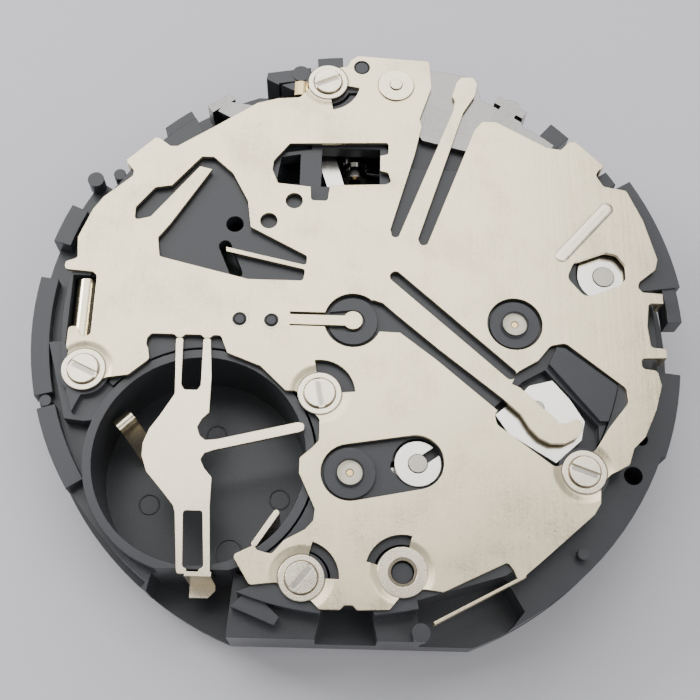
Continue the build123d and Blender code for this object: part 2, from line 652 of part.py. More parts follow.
wall_outline = [place for start, end, share in wall_stretches for place in arc_spots(start, end, share)]
with BuildPart() as main_plate:
    with BuildSketch():
        with Locations(rim_center):
            Circle(plate_radius)
        Rectangle(2 * reach_limit, flat_span, mode=Mode.INTERSECT)
    extrude(amount=base_top)
    with BuildSketch(Plane.XY.offset(base_top)):
        Polygon(*wall_outline, align=None)
        Rectangle(2 * reach_limit, flat_span, mode=Mode.INTERSECT)
    extrude(amount=web_top - base_top)
    # The wall up to the flange, in one outline with the cup and the pads
    with BuildSketch(Plane.XY.offset(web_top)):
        Polygon(*wall_outline, align=None)
        Rectangle(2 * reach_limit, flat_span, mode=Mode.INTERSECT)
        Circle(pocket_radius, mode=Mode.SUBTRACT)
        with Locations(cell_place):
            Circle(cup_radius)
        with Locations(*pad_places):
            Circle(pad_radius)
    extrude(amount=flange_top - web_top)
    # Shelf under the cover, left out round the cup
    with BuildSketch(Plane.XY.offset(flange_top)):
        Circle(shelf_radius)
        Circle(pocket_radius, mode=Mode.SUBTRACT)
        with Locations(cell_place):
            Circle(cup_clear_radius, mode=Mode.SUBTRACT)
        with Locations(*pad_places):
            Circle(pad_radius)
    extrude(amount=cover_bottom - flange_top)
    disc(flange_top, cup_top - flange_top, cup_radius, cell_place)
    for place, radius, top in pillars:
        disc(web_top, top - web_top, radius, place)
    for points, share in rim_blocks:
        slab(web_top, flange_top + share * rim_rise - web_top, points)
    for start, end, low, high, share in rim_stretches:
        slab(lug_floor, share * rim_rise + lug_root, arc_spots(start, end, high) + arc_spots(end, start, low))
    for place, radius_share, share in rim_pegs:
        disc(flange_top, share * rim_rise, radius_share * rim_peg_radius, place)
    # Hollows from the battery side
    disc(well_floor, cover_top, well_radius, cell_place, Mode.SUBTRACT)
    for place, radius in floor_rings:
        with BuildSketch(Plane.XY.offset(well_floor)):
            with Locations(place):
                Circle(radius)
                Circle(radius - ring_width, mode=Mode.SUBTRACT)
        extrude(amount=ring_groove)
    slab(reset_level - 0.5 * gap, cover_top, lever_field, Mode.SUBTRACT)
    for field in (start_field, pusher_field):
        slab(reset_level - pusher_height, cover_top, field, Mode.SUBTRACT)
    disc(reset_level - pusher_height, pusher_height - 0.5 * gap, hub_radius, start_place)
    hull(lever_level - 0.5 * gap, cover_top, coupling_room, Mode.SUBTRACT)
    slab(well_floor, cover_top, hook_notch, Mode.SUBTRACT)
    slab(web_top, cover_top, leaf_notch, Mode.SUBTRACT)
    slab(web_top, cover_top, front_notch, Mode.SUBTRACT)
    for place in screw_places:
        disc(cover_top - shank_length, cover_top, shank_radius, place, Mode.SUBTRACT)
    disc(web_top, cover_top, empty_hole_radius, empty_place, Mode.SUBTRACT)
    for place, radius in rim_holes:
        disc(web_top, cover_top, radius, place, Mode.SUBTRACT)
    # Hollows from the dial side: date channel, motion works and the rims of two large wheels
    disc(0, date_depth, date_ring_outer + 1.5 * gap, mode=Mode.SUBTRACT)
    with BuildSketch():
        Circle(works_radius)
        with Locations(cell_place):
            Circle(cup_radius, mode=Mode.SUBTRACT)
    extrude(amount=works_depth, mode=Mode.SUBTRACT)
    day_recess_radius = works_module * (day_teeth / 2 + tip_share) + gap
    for place, level in ((day_place, day_level), (driver_place, driver_level)):
        recess_depth = level + wheel_thickness + 0.5 * gap - date_depth
        disc(date_depth, recess_depth, day_recess_radius, place, Mode.SUBTRACT)
    with BuildSketch(Plane.XY.offset(guard_thickness)):
        Circle(land_radius)
        Circle(works_radius, mode=Mode.SUBTRACT)
    extrude(amount=date_depth - guard_thickness)
    disc(guard_thickness, date_depth - guard_thickness, finger_reach + gap, driver_place, Mode.SUBTRACT)
    jumper_room = [(place, radius + gap) for place, radius in jumper]
    hull(guard_thickness, date_depth - guard_thickness, jumper_room, Mode.SUBTRACT)
    for place, radius in ((minute_place, arbor_radius), (driver_place, stud_radius),
                          (jumper[0][0], stud_radius)):
        disc(guard_thickness, works_depth - guard_thickness, radius, place)
    disc(0, web_top, cannon_bore_radius, hand_axis, Mode.SUBTRACT)
    disc(0, web_top, arbor_bore_radius, counter_place, Mode.SUBTRACT)
    disc(0, web_top - pivot_depth, small_collar_radius + slack, day_place, Mode.SUBTRACT)
    for place in guard_screw_places:
        disc(0, guard_screw_depth, arbor_radius, place, Mode.SUBTRACT)
    for place in (third_place, fifth_place, rotor_place, chrono_rotor_place):
        disc(web_top - pivot_depth, pivot_depth, arbor_bore_radius, place, Mode.SUBTRACT)
    for place in foot_places:
        disc(0, foot_hole_depth, foot_hole_radius, place, Mode.SUBTRACT)
    # Stem hole, and the slot that the quartz lies in
    rod(stem_bore_end, plate_radius, stem_radius, 0, stem_level, Mode.SUBTRACT)
    crystal_slot = [(crystal_x - crystal_radius - gap, crystal_start - gap),
                    (crystal_x + crystal_radius + gap, crystal_start - gap),
                    (crystal_x + crystal_radius + gap, crystal_end + gap),
                    (crystal_x - crystal_radius - gap, crystal_end + gap)]
    slab(crystal_level - crystal_radius - gap, cover_top, crystal_slot, Mode.SUBTRACT)
    disc(flange_top, catch_pin_height, catch_pin_radius, catch_pin_place)
write(main_plate, "main_plate")

# Chronograph bridge: the dark plate under the cover, with its bosses and lever recesses
recess_floor = lever_level - 0.5 * gap
second_recess = spots([(61, -44), (79, -27), (89.5, -21), (113, -47.5), (113, -56), (95, -72), (67, -55)])
block_outline = spots([(91, -19), (95, -10.5), (99, -11), (124.5, -30.5), (125, -35), (117.5, -46),
                       (113, -46)])
works_window = spots([(-17, 72), (12, 72), (12, 94), (-17, 94)])
side_window = spots([(-39, 73), (-27.5, 73), (-27.5, 90), (-37, 88)])
ring_hole_place = at(-58, 50)
slot_hole_radius = 0.3
slot_hole = [(place, slot_hole_radius) for place in spots([(-62, 38), (-56, 24)])]
block_drop = 0.02
finger_room_end = at(-16, 0)
bridge_edge = pocket_radius - 0.5 * gap
with BuildPart() as chronograph_bridge:
    with BuildSketch(Plane.XY.offset(upper_bridge_floor)):
        Circle(bridge_edge)
        with Locations(cell_place):
            Circle(cup_radius + gap, mode=Mode.SUBTRACT)
        for place in pad_places:
            with Locations(place):
                Circle(pad_radius + gap, mode=Mode.SUBTRACT)
        for place, radius, top in pillars:
            if top > upper_bridge_floor:
                with Locations(place):
                    Circle(radius + gap, mode=Mode.SUBTRACT)
        Polygon(*works_window, align=None, mode=Mode.SUBTRACT)
        Polygon(*side_window, align=None, mode=Mode.SUBTRACT)
        with Locations(ring_hole_place):
            Circle(wide_hole_radius, mode=Mode.SUBTRACT)
    extrude(amount=upper_bridge_top - upper_bridge_floor)
    for place in (hand_axis, counter_place, drive_place):
        disc(upper_bridge_top, boss_top - upper_bridge_top, boss_radius, place)
    with BuildSketch(Plane.XY.offset(upper_bridge_top)):
        Polygon(*block_outline, align=None)
        Circle(bridge_edge, mode=Mode.INTERSECT)
        with Locations(pad_places[2]):
            Circle(pad_radius + gap, mode=Mode.SUBTRACT)
    extrude(amount=cover_top - block_drop - upper_bridge_top)
    for place in peg_hole_places:
        disc(upper_bridge_top, cover_bottom - upper_bridge_top, peg_hole_radius - slack, place)
    hull(upper_bridge_floor, cover_top, slot_hole, Mode.SUBTRACT)
    slab(recess_floor, cover_top, second_recess, Mode.SUBTRACT)
    disc(upper_bridge_floor, cover_top, hub_radius + gap, second_hammer_place, Mode.SUBTRACT)
    disc(recess_floor, cover_top, c_radius + gap, minute_hammer_place, Mode.SUBTRACT)
    disc(upper_bridge_floor, cover_top, 2 * peg_radius, peg_place, Mode.SUBTRACT)
    hull(recess_floor, cover_top, coupling_room, Mode.SUBTRACT)
    slab(reset_level - 0.5 * gap, cover_top, lever_field, Mode.SUBTRACT)
    slab(reset_level - 0.5 * gap, cover_top, start_field, Mode.SUBTRACT)
    slab(upper_bridge_floor, cover_top, crystal_slot, Mode.SUBTRACT)
    slab(upper_bridge_floor, cover_top, rim_blocks[0][0], Mode.SUBTRACT)
    # The short finger of the cover dips into the middle boss
    finger_room = [(hand_axis, finger_tip_radius + gap), (finger_room_end, finger_width / 2 + gap)]
    hull(cover_bottom - 0.5 * gap, cover_top, finger_room, Mode.SUBTRACT)
    disc(upper_bridge_floor, cover_top, second_bore_radius, mode=Mode.SUBTRACT)
    for place in (counter_place, drive_place):
        disc(boss_top - bush_thickness, cover_top, bush_radius, place, Mode.SUBTRACT)
        disc(upper_bridge_floor, cover_top, arbor_bore_radius, place, Mode.SUBTRACT)
    for place in (first_place, transfer_place, chrono_rotor_place):
        disc(upper_bridge_floor, pivot_depth, arbor_bore_radius, place, Mode.SUBTRACT)
write(chronograph_bridge, "chronograph_bridge")

with BuildPart() as pivot_bushes:
    for place in (counter_place, drive_place):
        disc(boss_top - bush_thickness, bush_thickness + slack, bush_radius, place)
        disc(boss_top - bush_thickness, cover_top, arbor_bore_radius, place, Mode.SUBTRACT)
write(pivot_bushes, "pivot_bushes")

# Train bridge over the going train, resting on its pillars
train_middle_radius, rotor_end_radius, train_end_radius = 1.2, 0.9, 0.8
train_circles = [(hand_axis, train_middle_radius), (rotor_place, rotor_end_radius),
                 (drive_place, train_end_radius), (counter_place, train_end_radius),
                 *[(place, pillar_radius) for place in train_pillars]]
with BuildPart() as train_bridge:
    with BuildSketch(Plane.XY.offset(train_bridge_floor)):
        for place, radius in train_circles:
            with Locations(place):
                Circle(radius)
        make_hull()
        with Locations(cell_place):
            Circle(cup_radius + gap, mode=Mode.SUBTRACT)
        with Locations(screw_places[1]):
            Circle(pillar_radius + gap, mode=Mode.SUBTRACT)
        with Locations(second_hammer_place):
            Circle(hub_radius + gap, mode=Mode.SUBTRACT)
        Circle(center_tube_radius + slack, mode=Mode.SUBTRACT)
        with Locations(third_place, fifth_place, rotor_place, first_place, transfer_place, idler_place,
                       counter_place, drive_place):
            Circle(arbor_bore_radius, mode=Mode.SUBTRACT)
    extrude(amount=bridge_thickness)
write(train_bridge, "train_bridge")

# Two stepping motors alike: a core, its winding, and a stator that joins both ends to a ring
core_width = 0.9
core_thickness = 0.3
core_level = web_top + stator_thickness
coil_width = 1.7
coil_height = 2 * stator_thickness + core_thickness
coil_corner = 0.25
coil_end = 0.6
coil_leg = 1.7
stator_ring = 1.35
rotor_hole = 0.9
stator_width = 1.0
motors = [
    ("", at(36, -99), at(86, -81), 90, [], [], rotor_place),
    ("chrono_", at(52, 86), at(98, 56), -90, [at(64, 35), at(84, -3)], [at(93, 16)], chrono_rotor_place),
]
for prefix, start, end, side, left_bends, right_bends, hub in motors:
    angle = bearing(start, end)
    middle = ((start[0] + end[0]) / 2, (start[1] + end[1]) / 2)
    half_length = (end[0] - start[0]) / cos(radians(angle)) / 2
    across = Plane(origin=(*middle, core_level + core_thickness / 2),
                   x_dir=(-sin(radians(angle)), cos(radians(angle)), 0),
                   z_dir=(cos(radians(angle)), sin(radians(angle)), 0))
    with BuildPart() as core:
        hull(core_level, core_thickness, [(start, core_width / 2), (end, core_width / 2)])
    write(core, prefix + "coil_core")
    with BuildPart() as winding:
        with BuildSketch(across):
            RectangleRounded(coil_width, coil_height, coil_corner)
            Rectangle(core_width, core_thickness, mode=Mode.SUBTRACT)
        extrude(amount=half_length - coil_end, both=True)
    write(winding, prefix + "coil_winding")
    with BuildPart() as stator:
        with BuildSketch(Plane.XY.offset(web_top)):
            with Locations(hub):
                Circle(stator_ring)
            for foot, bends in ((start, left_bends), (end, right_bends)):
                with Locations(foot):
                    Circle(stator_width / 2)
                with BuildLine():
                    Polyline(foot, step(foot, coil_leg, angle + side), *bends, hub)
                trace(line_width=stator_width)
            with Locations(hub):
                Circle(rotor_hole, mode=Mode.SUBTRACT)
        extrude(amount=stator_thickness)
    write(stator, prefix + "stator")


def wheel(level, teeth, module, place, turn):
    toothed(level, wheel_thickness, teeth, module, place, turn)


def pinion(level, teeth, module, place, turn):
    toothed(level - 0.5 * gap, wheel_thickness + gap, teeth, module, place, turn)


def arbor(foot, head, place, radius=arbor_radius):
    disc(foot, head - foot, radius, place)


# Going train, under its bridge
lower_pivot = web_top - 0.75 * pivot_depth
magnet_radius = 0.7
magnet_height = 5 * gap
center_turn, third_turn, fifth_turn = 0, 0, 0
third_pinion_turn = mesh_turn(center_turn, center_teeth, bearing(hand_axis, third_place), leaf_teeth)
fifth_pinion_turn = mesh_turn(third_turn, third_teeth, bearing(third_place, fifth_place), leaf_teeth)
rotor_pinion_turn = mesh_turn(fifth_turn, fifth_teeth, bearing(fifth_place, rotor_place), leaf_teeth)
with BuildPart() as center_wheel:
    wheel(center_level, center_teeth, works_module, hand_axis, center_turn)
    arbor(gap - minute_post_drop, train_bridge_top, hand_axis, center_tube_radius)
    disc(-minute_post_drop, cover_top, second_bore_radius, hand_axis, Mode.SUBTRACT)
write(center_wheel, "center_wheel")
with BuildPart() as third_wheel:
    pinion(center_level, leaf_teeth, works_module, third_place, third_pinion_turn)
    wheel(third_level, third_teeth, works_module, third_place, third_turn)
    arbor(lower_pivot, train_bridge_top, third_place)
write(third_wheel, "third_wheel")
with BuildPart() as fifth_wheel:
    pinion(third_level, leaf_teeth, works_module, fifth_place, fifth_pinion_turn)
    wheel(fifth_level, fifth_teeth, works_module, fifth_place, fifth_turn)
    arbor(lower_pivot, train_bridge_top, fifth_place)
write(fifth_wheel, "fifth_wheel")
with BuildPart() as rotor:
    pinion(fifth_level, leaf_teeth, works_module, rotor_place, rotor_pinion_turn)
    arbor(lower_pivot, train_bridge_top, rotor_place)
    disc(web_top + gap, magnet_height, magnet_radius, rotor_place)
write(rotor, "rotor")

# Chronograph train, between the two bridges, with a heart for each counting hand
upper_pivot = upper_bridge_floor + 0.75 * pivot_depth
heart_low, heart_high = 0.45, 1.0
second_turn, first_pinion_turn, transfer_pinion_turn = 0, 0, 0
first_turn = mesh_turn(second_turn, second_pinion_teeth, bearing(hand_axis, first_place), first_teeth)
drive_turn = mesh_turn(first_turn, first_teeth, bearing(first_place, drive_place), drive_teeth)
chrono_turn = mesh_turn(drive_turn, drive_teeth, bearing(drive_place, chrono_rotor_place), leaf_teeth)
transfer_turn = mesh_turn(first_pinion_turn, leaf_teeth, bearing(first_place, transfer_place), transfer_teeth)
idler_turn = mesh_turn(transfer_pinion_turn, transfer_pinion_teeth, bearing(transfer_place, idler_place),
                       counter_teeth)
counter_turn = mesh_turn(idler_turn, counter_teeth, bearing(idler_place, counter_place), counter_teeth)
with BuildPart() as chrono_second_wheel:
    pinion(first_level, second_pinion_teeth, fine, hand_axis, second_turn)
    hammer_way = bearing(hand_axis, second_hammer_place)
    heart(hammer_level, hammer_thickness, hand_axis, heart_low, heart_high, hammer_way)
    arbor(-second_post_drop, cover_bottom - gap, hand_axis, second_arbor_radius)
write(chrono_second_wheel, "chrono_second_wheel")
with BuildPart() as chrono_first_wheel:
    wheel(first_level, first_teeth, fine, first_place, first_turn)
    pinion(second_level, leaf_teeth, transfer_module, first_place, first_pinion_turn)
    arbor(train_bridge_floor, upper_pivot, first_place)
write(chrono_first_wheel, "chrono_first_wheel")
with BuildPart() as chrono_drive_wheel:
    wheel(first_level, drive_teeth, fine, drive_place, drive_turn)
    arbor(train_bridge_floor, boss_top, drive_place)
write(chrono_drive_wheel, "chrono_drive_wheel")
with BuildPart() as chrono_rotor:
    pinion(first_level, leaf_teeth, fine, chrono_rotor_place, chrono_turn)
    arbor(lower_pivot, upper_pivot, chrono_rotor_place)
    disc(web_top + gap, magnet_height, magnet_radius, chrono_rotor_place)
write(chrono_rotor, "chrono_rotor")
with BuildPart() as chrono_transfer_wheel:
    pinion(first_level, transfer_pinion_teeth, fine, transfer_place, transfer_pinion_turn)
    wheel(second_level, transfer_teeth, transfer_module, transfer_place, transfer_turn)
    arbor(train_bridge_floor, upper_pivot, transfer_place)
write(chrono_transfer_wheel, "chrono_transfer_wheel")
with BuildPart() as chrono_idler:
    wheel(first_level, counter_teeth, fine, idler_place, idler_turn)
    arbor(train_bridge_floor, first_level, idler_place)
write(chrono_idler, "chrono_idler")
with BuildPart() as minute_counter_wheel:
    wheel(first_level, counter_teeth, fine, counter_place, counter_turn)
    heart(hammer_level, hammer_thickness, counter_place, heart_low, heart_high, arm_angle + 180)
    arbor(-small_post_drop, works_depth - gap, counter_place, small_post_radius)
    arbor(0, works_depth - gap, counter_place, small_collar_radius)
    arbor(works_depth - gap, boss_top, counter_place)
write(minute_counter_wheel, "minute_counter_wheel")

# Motion works on the dial side
hour_height = 2.2 * wheel_thickness
cannon_turn, hour_turn = 0, 0
minute_turn = mesh_turn(cannon_turn, cannon_teeth, bearing(hand_axis, minute_place), minute_teeth)
minute_pinion_turn = mesh_turn(hour_turn, hour_teeth, bearing(hand_axis, minute_place), leaf_teeth)
day_turn = mesh_turn(hour_turn, hour_teeth, bearing(hand_axis, day_place), day_teeth)
driver_turn = mesh_turn(hour_turn, hour_teeth, bearing(hand_axis, driver_place), day_teeth)
with BuildPart() as cannon_pinion:
    pinion(cannon_level, cannon_teeth, cannon_module, hand_axis, cannon_turn)
    arbor(-minute_post_drop, cannon_level, hand_axis, minute_post_radius)
    arbor(-hour_post_drop, cannon_level, hand_axis, cannon_body_radius)
    disc(-minute_post_drop, cover_top, cannon_bore_radius, hand_axis, Mode.SUBTRACT)
write(cannon_pinion, "cannon_pinion")
with BuildPart() as minute_wheel:
    wheel(cannon_level, minute_teeth, cannon_module, minute_place, minute_turn)
    toothed(hour_level, cannon_level - hour_level, leaf_teeth, works_module, minute_place, minute_pinion_turn)
    disc(0, cover_top, arbor_bore_radius, minute_place, Mode.SUBTRACT)
write(minute_wheel, "minute_wheel")
with BuildPart() as hour_wheel:
    toothed(hour_level, hour_height, hour_teeth, works_module, hand_axis, hour_turn)
    arbor(-hour_post_drop, hour_level, hand_axis, hour_post_radius)
    arbor(0, hour_level, hand_axis, hour_collar_radius)
    disc(-hour_post_drop, cover_top, hour_bore_radius, hand_axis, Mode.SUBTRACT)
write(hour_wheel, "hour_wheel")
with BuildPart() as day_wheel:
    wheel(day_level, day_teeth, works_module, day_place, day_turn)
    arbor(-small_post_drop, day_level, day_place, small_post_radius)
    arbor(0, lower_pivot - pivot_depth, day_place, small_collar_radius)
write(day_wheel, "day_wheel")

# Calendar: date ring, its driver and jumper, and the plate that holds the ring in
finger_tip = 0.15
driver_hub = 0.5
date_tip_share = 0.25
date_turn = jumper_angle + 180 / date_teeth
with BuildPart() as date_driver:
    wheel(driver_level, day_teeth, works_module, driver_place, driver_turn)
    disc(date_level, driver_level - date_level, driver_hub, driver_place)
    finger_end = step(driver_place, finger_reach - finger_tip, bearing(driver_place, hand_axis) + 90)
    hull(date_level, date_thickness, [(driver_place, driver_hub), (finger_end, finger_tip)])
    disc(0, cover_top, stud_radius + slack, driver_place, Mode.SUBTRACT)
write(date_driver, "date_driver")
with BuildPart() as date_dial:
    teeth = []
    for tooth in range(date_teeth):
        for share in (-date_tip_share, date_tip_share):
            teeth.append(step(hand_axis, date_tooth_tip, date_turn + (tooth + share) * 360 / date_teeth))
        for share in (2 * date_tip_share, 1 - 2 * date_tip_share):
            teeth.append(step(hand_axis, date_ring_inner, date_turn + (tooth + share) * 360 / date_teeth))
    disc(date_level, date_thickness, date_ring_outer)
    slab(date_level, date_thickness, teeth, Mode.SUBTRACT)
write(date_dial, "date_dial")
with BuildPart() as date_jumper:
    hull(date_level, date_thickness, jumper)
    disc(date_level, date_thickness, stud_radius, jumper[0][0], Mode.SUBTRACT)
write(date_jumper, "date_jumper")
with BuildPart() as date_guard:
    disc(0, guard_thickness, guard_radius)
    disc(0, guard_thickness, hour_collar_radius + gap, hand_axis, Mode.SUBTRACT)
    for place in (day_place, counter_place):
        disc(0, guard_thickness, small_collar_radius + gap, place, Mode.SUBTRACT)
    for place in guard_screw_places:
        disc(0, guard_thickness, guard_head_radius, place, Mode.SUBTRACT)
write(date_guard, "date_guard")
with BuildPart() as guard_screws:
    for place in guard_screw_places:
        disc(0, guard_thickness, guard_head_radius, place)
        disc(0, guard_screw_depth, arbor_radius, place)
write(guard_screws, "guard_screws")

# Electrics: board, chip, quartz, and the two contacts in the battery well
well_grid = well_radius / 48


def well_spot(x_share, y_share):
    return (cell_place[0] + x_share * well_grid, cell_place[1] + y_share * well_grid)


board_thickness = 0.15
chip_side = 2.0
chip_height = 0.6
chip_place = at(-82, 45)
contact_width = 0.9
contact_place = at(-106.3, -45.9)
contact_turn = radians(-46)
# Out from the wall in 48ths of the well's radius, and up in 36ths of the cell's height
contact_arch_shares = [(0, 29), (1, 35), (4.5, 37.5), (8.5, 33), (13, 15), (18.5, 5.4)]
contact_arch = [(x * well_radius / 48, z * cell_height / 36) for x, z in contact_arch_shares]
contact_thickness = 0.15
wire_radius = 0.13
wire_rise = 0.25
wire_height = cell_height + wire_rise
wire_ends = [well_spot(26.5, -37.5), well_spot(35.5, -23.5)]
board_shares = [(-118, 8), (-60, 8), (-45, 30), (-45, 90), (-60, 95), (-80, 90), (-100, 70), (-117, 40)]
with BuildPart() as circuit_board:
    slab(board_level, board_thickness, spots(board_shares))
write(circuit_board, "circuit_board")
with BuildPart() as ic_block:
    with BuildSketch(Plane.XY.offset(board_level + board_thickness)):
        with Locations(chip_place):
            Rectangle(chip_side, chip_side)
    extrude(amount=chip_height)
write(ic_block, "ic_block")
with BuildPart() as quartz_crystal:
    rod(crystal_start, crystal_end, crystal_radius, crystal_x, crystal_level)
write(quartz_crystal, "quartz_crystal")
# A bent spring that stands on the well's floor and arches up at its side
with BuildPart() as battery_contact:
    side_view = Plane(origin=(*contact_place, 0), x_dir=(cos(contact_turn), sin(contact_turn), 0),
                      z_dir=(sin(contact_turn), -cos(contact_turn), 0))
    with BuildSketch(side_view):
        with BuildLine():
            Spline(*contact_arch)
        trace(line_width=contact_thickness)
    extrude(amount=contact_width / 2, both=True)
write(battery_contact, "battery_contact")
with BuildPart() as positive_contact:
    hull(well_floor, wire_height, [(place, wire_radius) for place in wire_ends])
write(positive_contact, "positive_contact")

# Setting works round the hole for the stem
clutch_start, clutch_end = at(0, 87)[1], at(0, 99)[1]
clutch_radius = 0.65
groove_start, groove_end = at(0, 91)[1], at(0, 95)[1]
groove_radius = 0.45
clutch_bore_radius = 0.3
setting_tip = at(-9, 76)
yoke_tip = at(6.5, 93)
with BuildPart() as clutch_wheel:
    rod(clutch_start, groove_start, clutch_radius, 0, stem_level)
    rod(groove_start, groove_end, groove_radius, 0, stem_level)
    rod(groove_end, clutch_end, clutch_radius, 0, stem_level)
    rod(clutch_start, clutch_end, clutch_bore_radius, 0, stem_level, Mode.SUBTRACT)
write(clutch_wheel, "clutch_wheel")
with BuildPart() as setting_wheel:
    toothed(board_level, setting_thickness, setting_teeth, works_module, setting_place, 0)
    disc(board_level, setting_thickness, stud_radius + slack, setting_place, Mode.SUBTRACT)
write(setting_wheel, "setting_wheel")
with BuildPart() as setting_lever:
    hull(setting_level, setting_thickness,
         [(setting_pivot, 1.6 * stud_radius), (setting_tip, 1.4 * stud_radius)])
    disc(setting_level, setting_thickness, stud_radius + slack, setting_pivot, Mode.SUBTRACT)
    disc(setting_level, setting_thickness, 0.7 * stud_radius, setting_tip, Mode.SUBTRACT)
write(setting_lever, "setting_lever")
with BuildPart() as yoke:
    hull(yoke_level, setting_thickness, [(yoke_pivot, 1.6 * stud_radius), (yoke_tip, 0.4 * stud_radius)])
    disc(yoke_level, setting_thickness, stud_radius + slack, yoke_pivot, Mode.SUBTRACT)
write(yoke, "yoke")
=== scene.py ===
import bpy
import numpy as np
from mathutils import Matrix, Vector


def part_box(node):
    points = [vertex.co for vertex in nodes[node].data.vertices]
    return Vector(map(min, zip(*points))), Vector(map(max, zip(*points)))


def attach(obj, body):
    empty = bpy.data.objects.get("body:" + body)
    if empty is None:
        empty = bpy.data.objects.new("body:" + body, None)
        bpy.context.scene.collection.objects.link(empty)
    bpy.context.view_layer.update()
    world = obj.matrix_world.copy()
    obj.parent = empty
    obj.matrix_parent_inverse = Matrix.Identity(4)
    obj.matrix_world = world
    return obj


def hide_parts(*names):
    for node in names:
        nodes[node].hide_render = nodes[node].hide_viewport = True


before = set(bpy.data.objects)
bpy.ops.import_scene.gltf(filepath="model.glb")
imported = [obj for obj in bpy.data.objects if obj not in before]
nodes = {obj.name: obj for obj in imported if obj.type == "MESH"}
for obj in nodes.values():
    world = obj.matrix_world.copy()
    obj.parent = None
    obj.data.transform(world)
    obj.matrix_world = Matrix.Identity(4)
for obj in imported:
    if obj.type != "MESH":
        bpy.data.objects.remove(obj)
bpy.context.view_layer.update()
mm = 0.001
print("frame loaded:", len(nodes), "nodes")


# A wrapped socket: adding, multiplying and so on adds the Math node for it
class Signal:
    def __init__(self, shop, socket):
        self.shop = shop
        self.socket = socket

    def math(self, operation, first, second):
        return self.shop.make("ShaderNodeMath", {"operation": operation}, {0: first, 1: second})

    def __add__(self, other):
        return self.math("ADD", self, other)

    def __mul__(self, other):
        return self.math("MULTIPLY", self, other)

    def __rsub__(self, other):
        return self.math("SUBTRACT", other, self)

    def least(self, other):
        return self.math("MINIMUM", self, other)

    # 0 below low, 1 above high, and a smooth slope between them
    def slope(self, low, high):
        return self.shop.make("ShaderNodeMapRange", {"interpolation_type": "SMOOTHSTEP"},
                              {"Value": self, "From Min": low, "From Max": high})


# One material in the making: its node tree, and the few steps that every finish needs
class Shop:
    def __init__(self, name):
        self.material = bpy.data.materials.new(name)
        self.material.use_nodes = True
        self.tree = self.material.node_tree
        self.tree.nodes.clear()
        self.coords = self.make("ShaderNodeTexCoord", output="Object")

    def make(self, kind, settings=None, inputs=None, output=0):
        node = self.tree.nodes.new(kind)
        for key, value in (settings or {}).items():
            setattr(node, key, value)
        for key, value in (inputs or {}).items():
            if isinstance(value, Signal):
                self.tree.links.new(value.socket, node.inputs[key])
            else:
                node.inputs[key].default_value = value
        return Signal(self, node.outputs[output])

    # The pattern's coordinates in millimetres, stretched and turned
    def grid(self, stretch=(1, 1, 1), turn=0.0):
        scale = tuple(share / mm for share in stretch)
        return self.make("ShaderNodeMapping", {"vector_type": "POINT"},
                         {"Vector": self.coords, "Rotation": (0, 0, turn), "Scale": scale})

    def noise(self, scale, detail=3.0, rough=0.55, stretch=(1, 1, 1), turn=0.0):
        inputs = {"Vector": self.grid(stretch, turn), "Scale": scale, "Detail": detail, "Roughness": rough}
        return self.make("ShaderNodeTexNoise", None, inputs)

    # How far a point of the surface is, in millimetres, from the upright line at a place
    def away(self, place):
        return self.make("ShaderNodeVectorMath", {"operation": "DISTANCE"},
                         {0: self.grid((1, 1, 0)), 1: (*place, 0)}, output=1)

    def ramp(self, signal, stops):
        made = self.make("ShaderNodeValToRGB", None, {"Fac": signal})
        elements = made.socket.node.color_ramp.elements
        while len(elements) < len(stops):
            elements.new(1.0)
        for stop, (place, shade) in zip(elements, stops):
            stop.position = place
            stop.color = (*shade, 1.0)
        return made

    def blend(self, share, first, second):
        return self.make("ShaderNodeMix", {"data_type": "RGBA"}, {0: share, 6: first, 7: second}, output=2)

    # Edges look rounded by edge millimetres, and height is in millimetres too
    def relief(self, height, edge=0.03):
        soft = self.make("ShaderNodeBevel", {"samples": 6}, {"Radius": edge * mm})
        return self.make("ShaderNodeBump", None,
                         {"Strength": 1.0, "Distance": mm, "Height": height, "Normal": soft})

    def finish(self, **sockets):
        names = {"color": "Base Color", "rough": "Roughness", "metal": "Metallic", "normal": "Normal"}
        inputs = {names[key]: value for key, value in sockets.items()}
        surface = self.make("ShaderNodeBsdfPrincipled", None, inputs)
        out = self.tree.nodes.new("ShaderNodeOutputMaterial")
        self.tree.links.new(surface.socket, out.inputs["Surface"])
        return self.material


# Several signals, each taken by its share, and added up
def mixed(signals, shares):
    total = signals[0] * shares[0]
    for signal, share in zip(signals[1:], shares[1:]):
        total = total + signal * share
    return total


# Places in the cover that more than one piece uses, in millimetres
spots = {"left": (-5.28, -0.1), "right": (-3.8, -0.12), "edge": (0.2, 14.0), "rivet": (1.95, 12.97),
         "empty": (2.35, -11.65)}

# Screw seats in the cover, with their radii in millimetres and the turn of each screw's slot in degrees.
# The last seat has no screw and is wider. The sheet dips towards each one, within a dark line of painted
# shade.
seats = {"places": [(-12.25, -2.8), (-1.45, -3.65), (-2.0, -12.0), (10.45, -7.0), (-1.5, 13.05),
                    spots["empty"]],
         "slots": [-25, -80, 50, -20, 25], "inner": 0.74, "outer": 1.0, "emptyInner": 0.62, "emptyOuter": 1.1,
         "dip": 1.45, "sink": 0.07, "lineFrom": 0.03, "lineTo": 0.08, "shadeLineShare": 0.8,
         "shadeLineColor": (0.06, 0.05, 0.045, 1)}

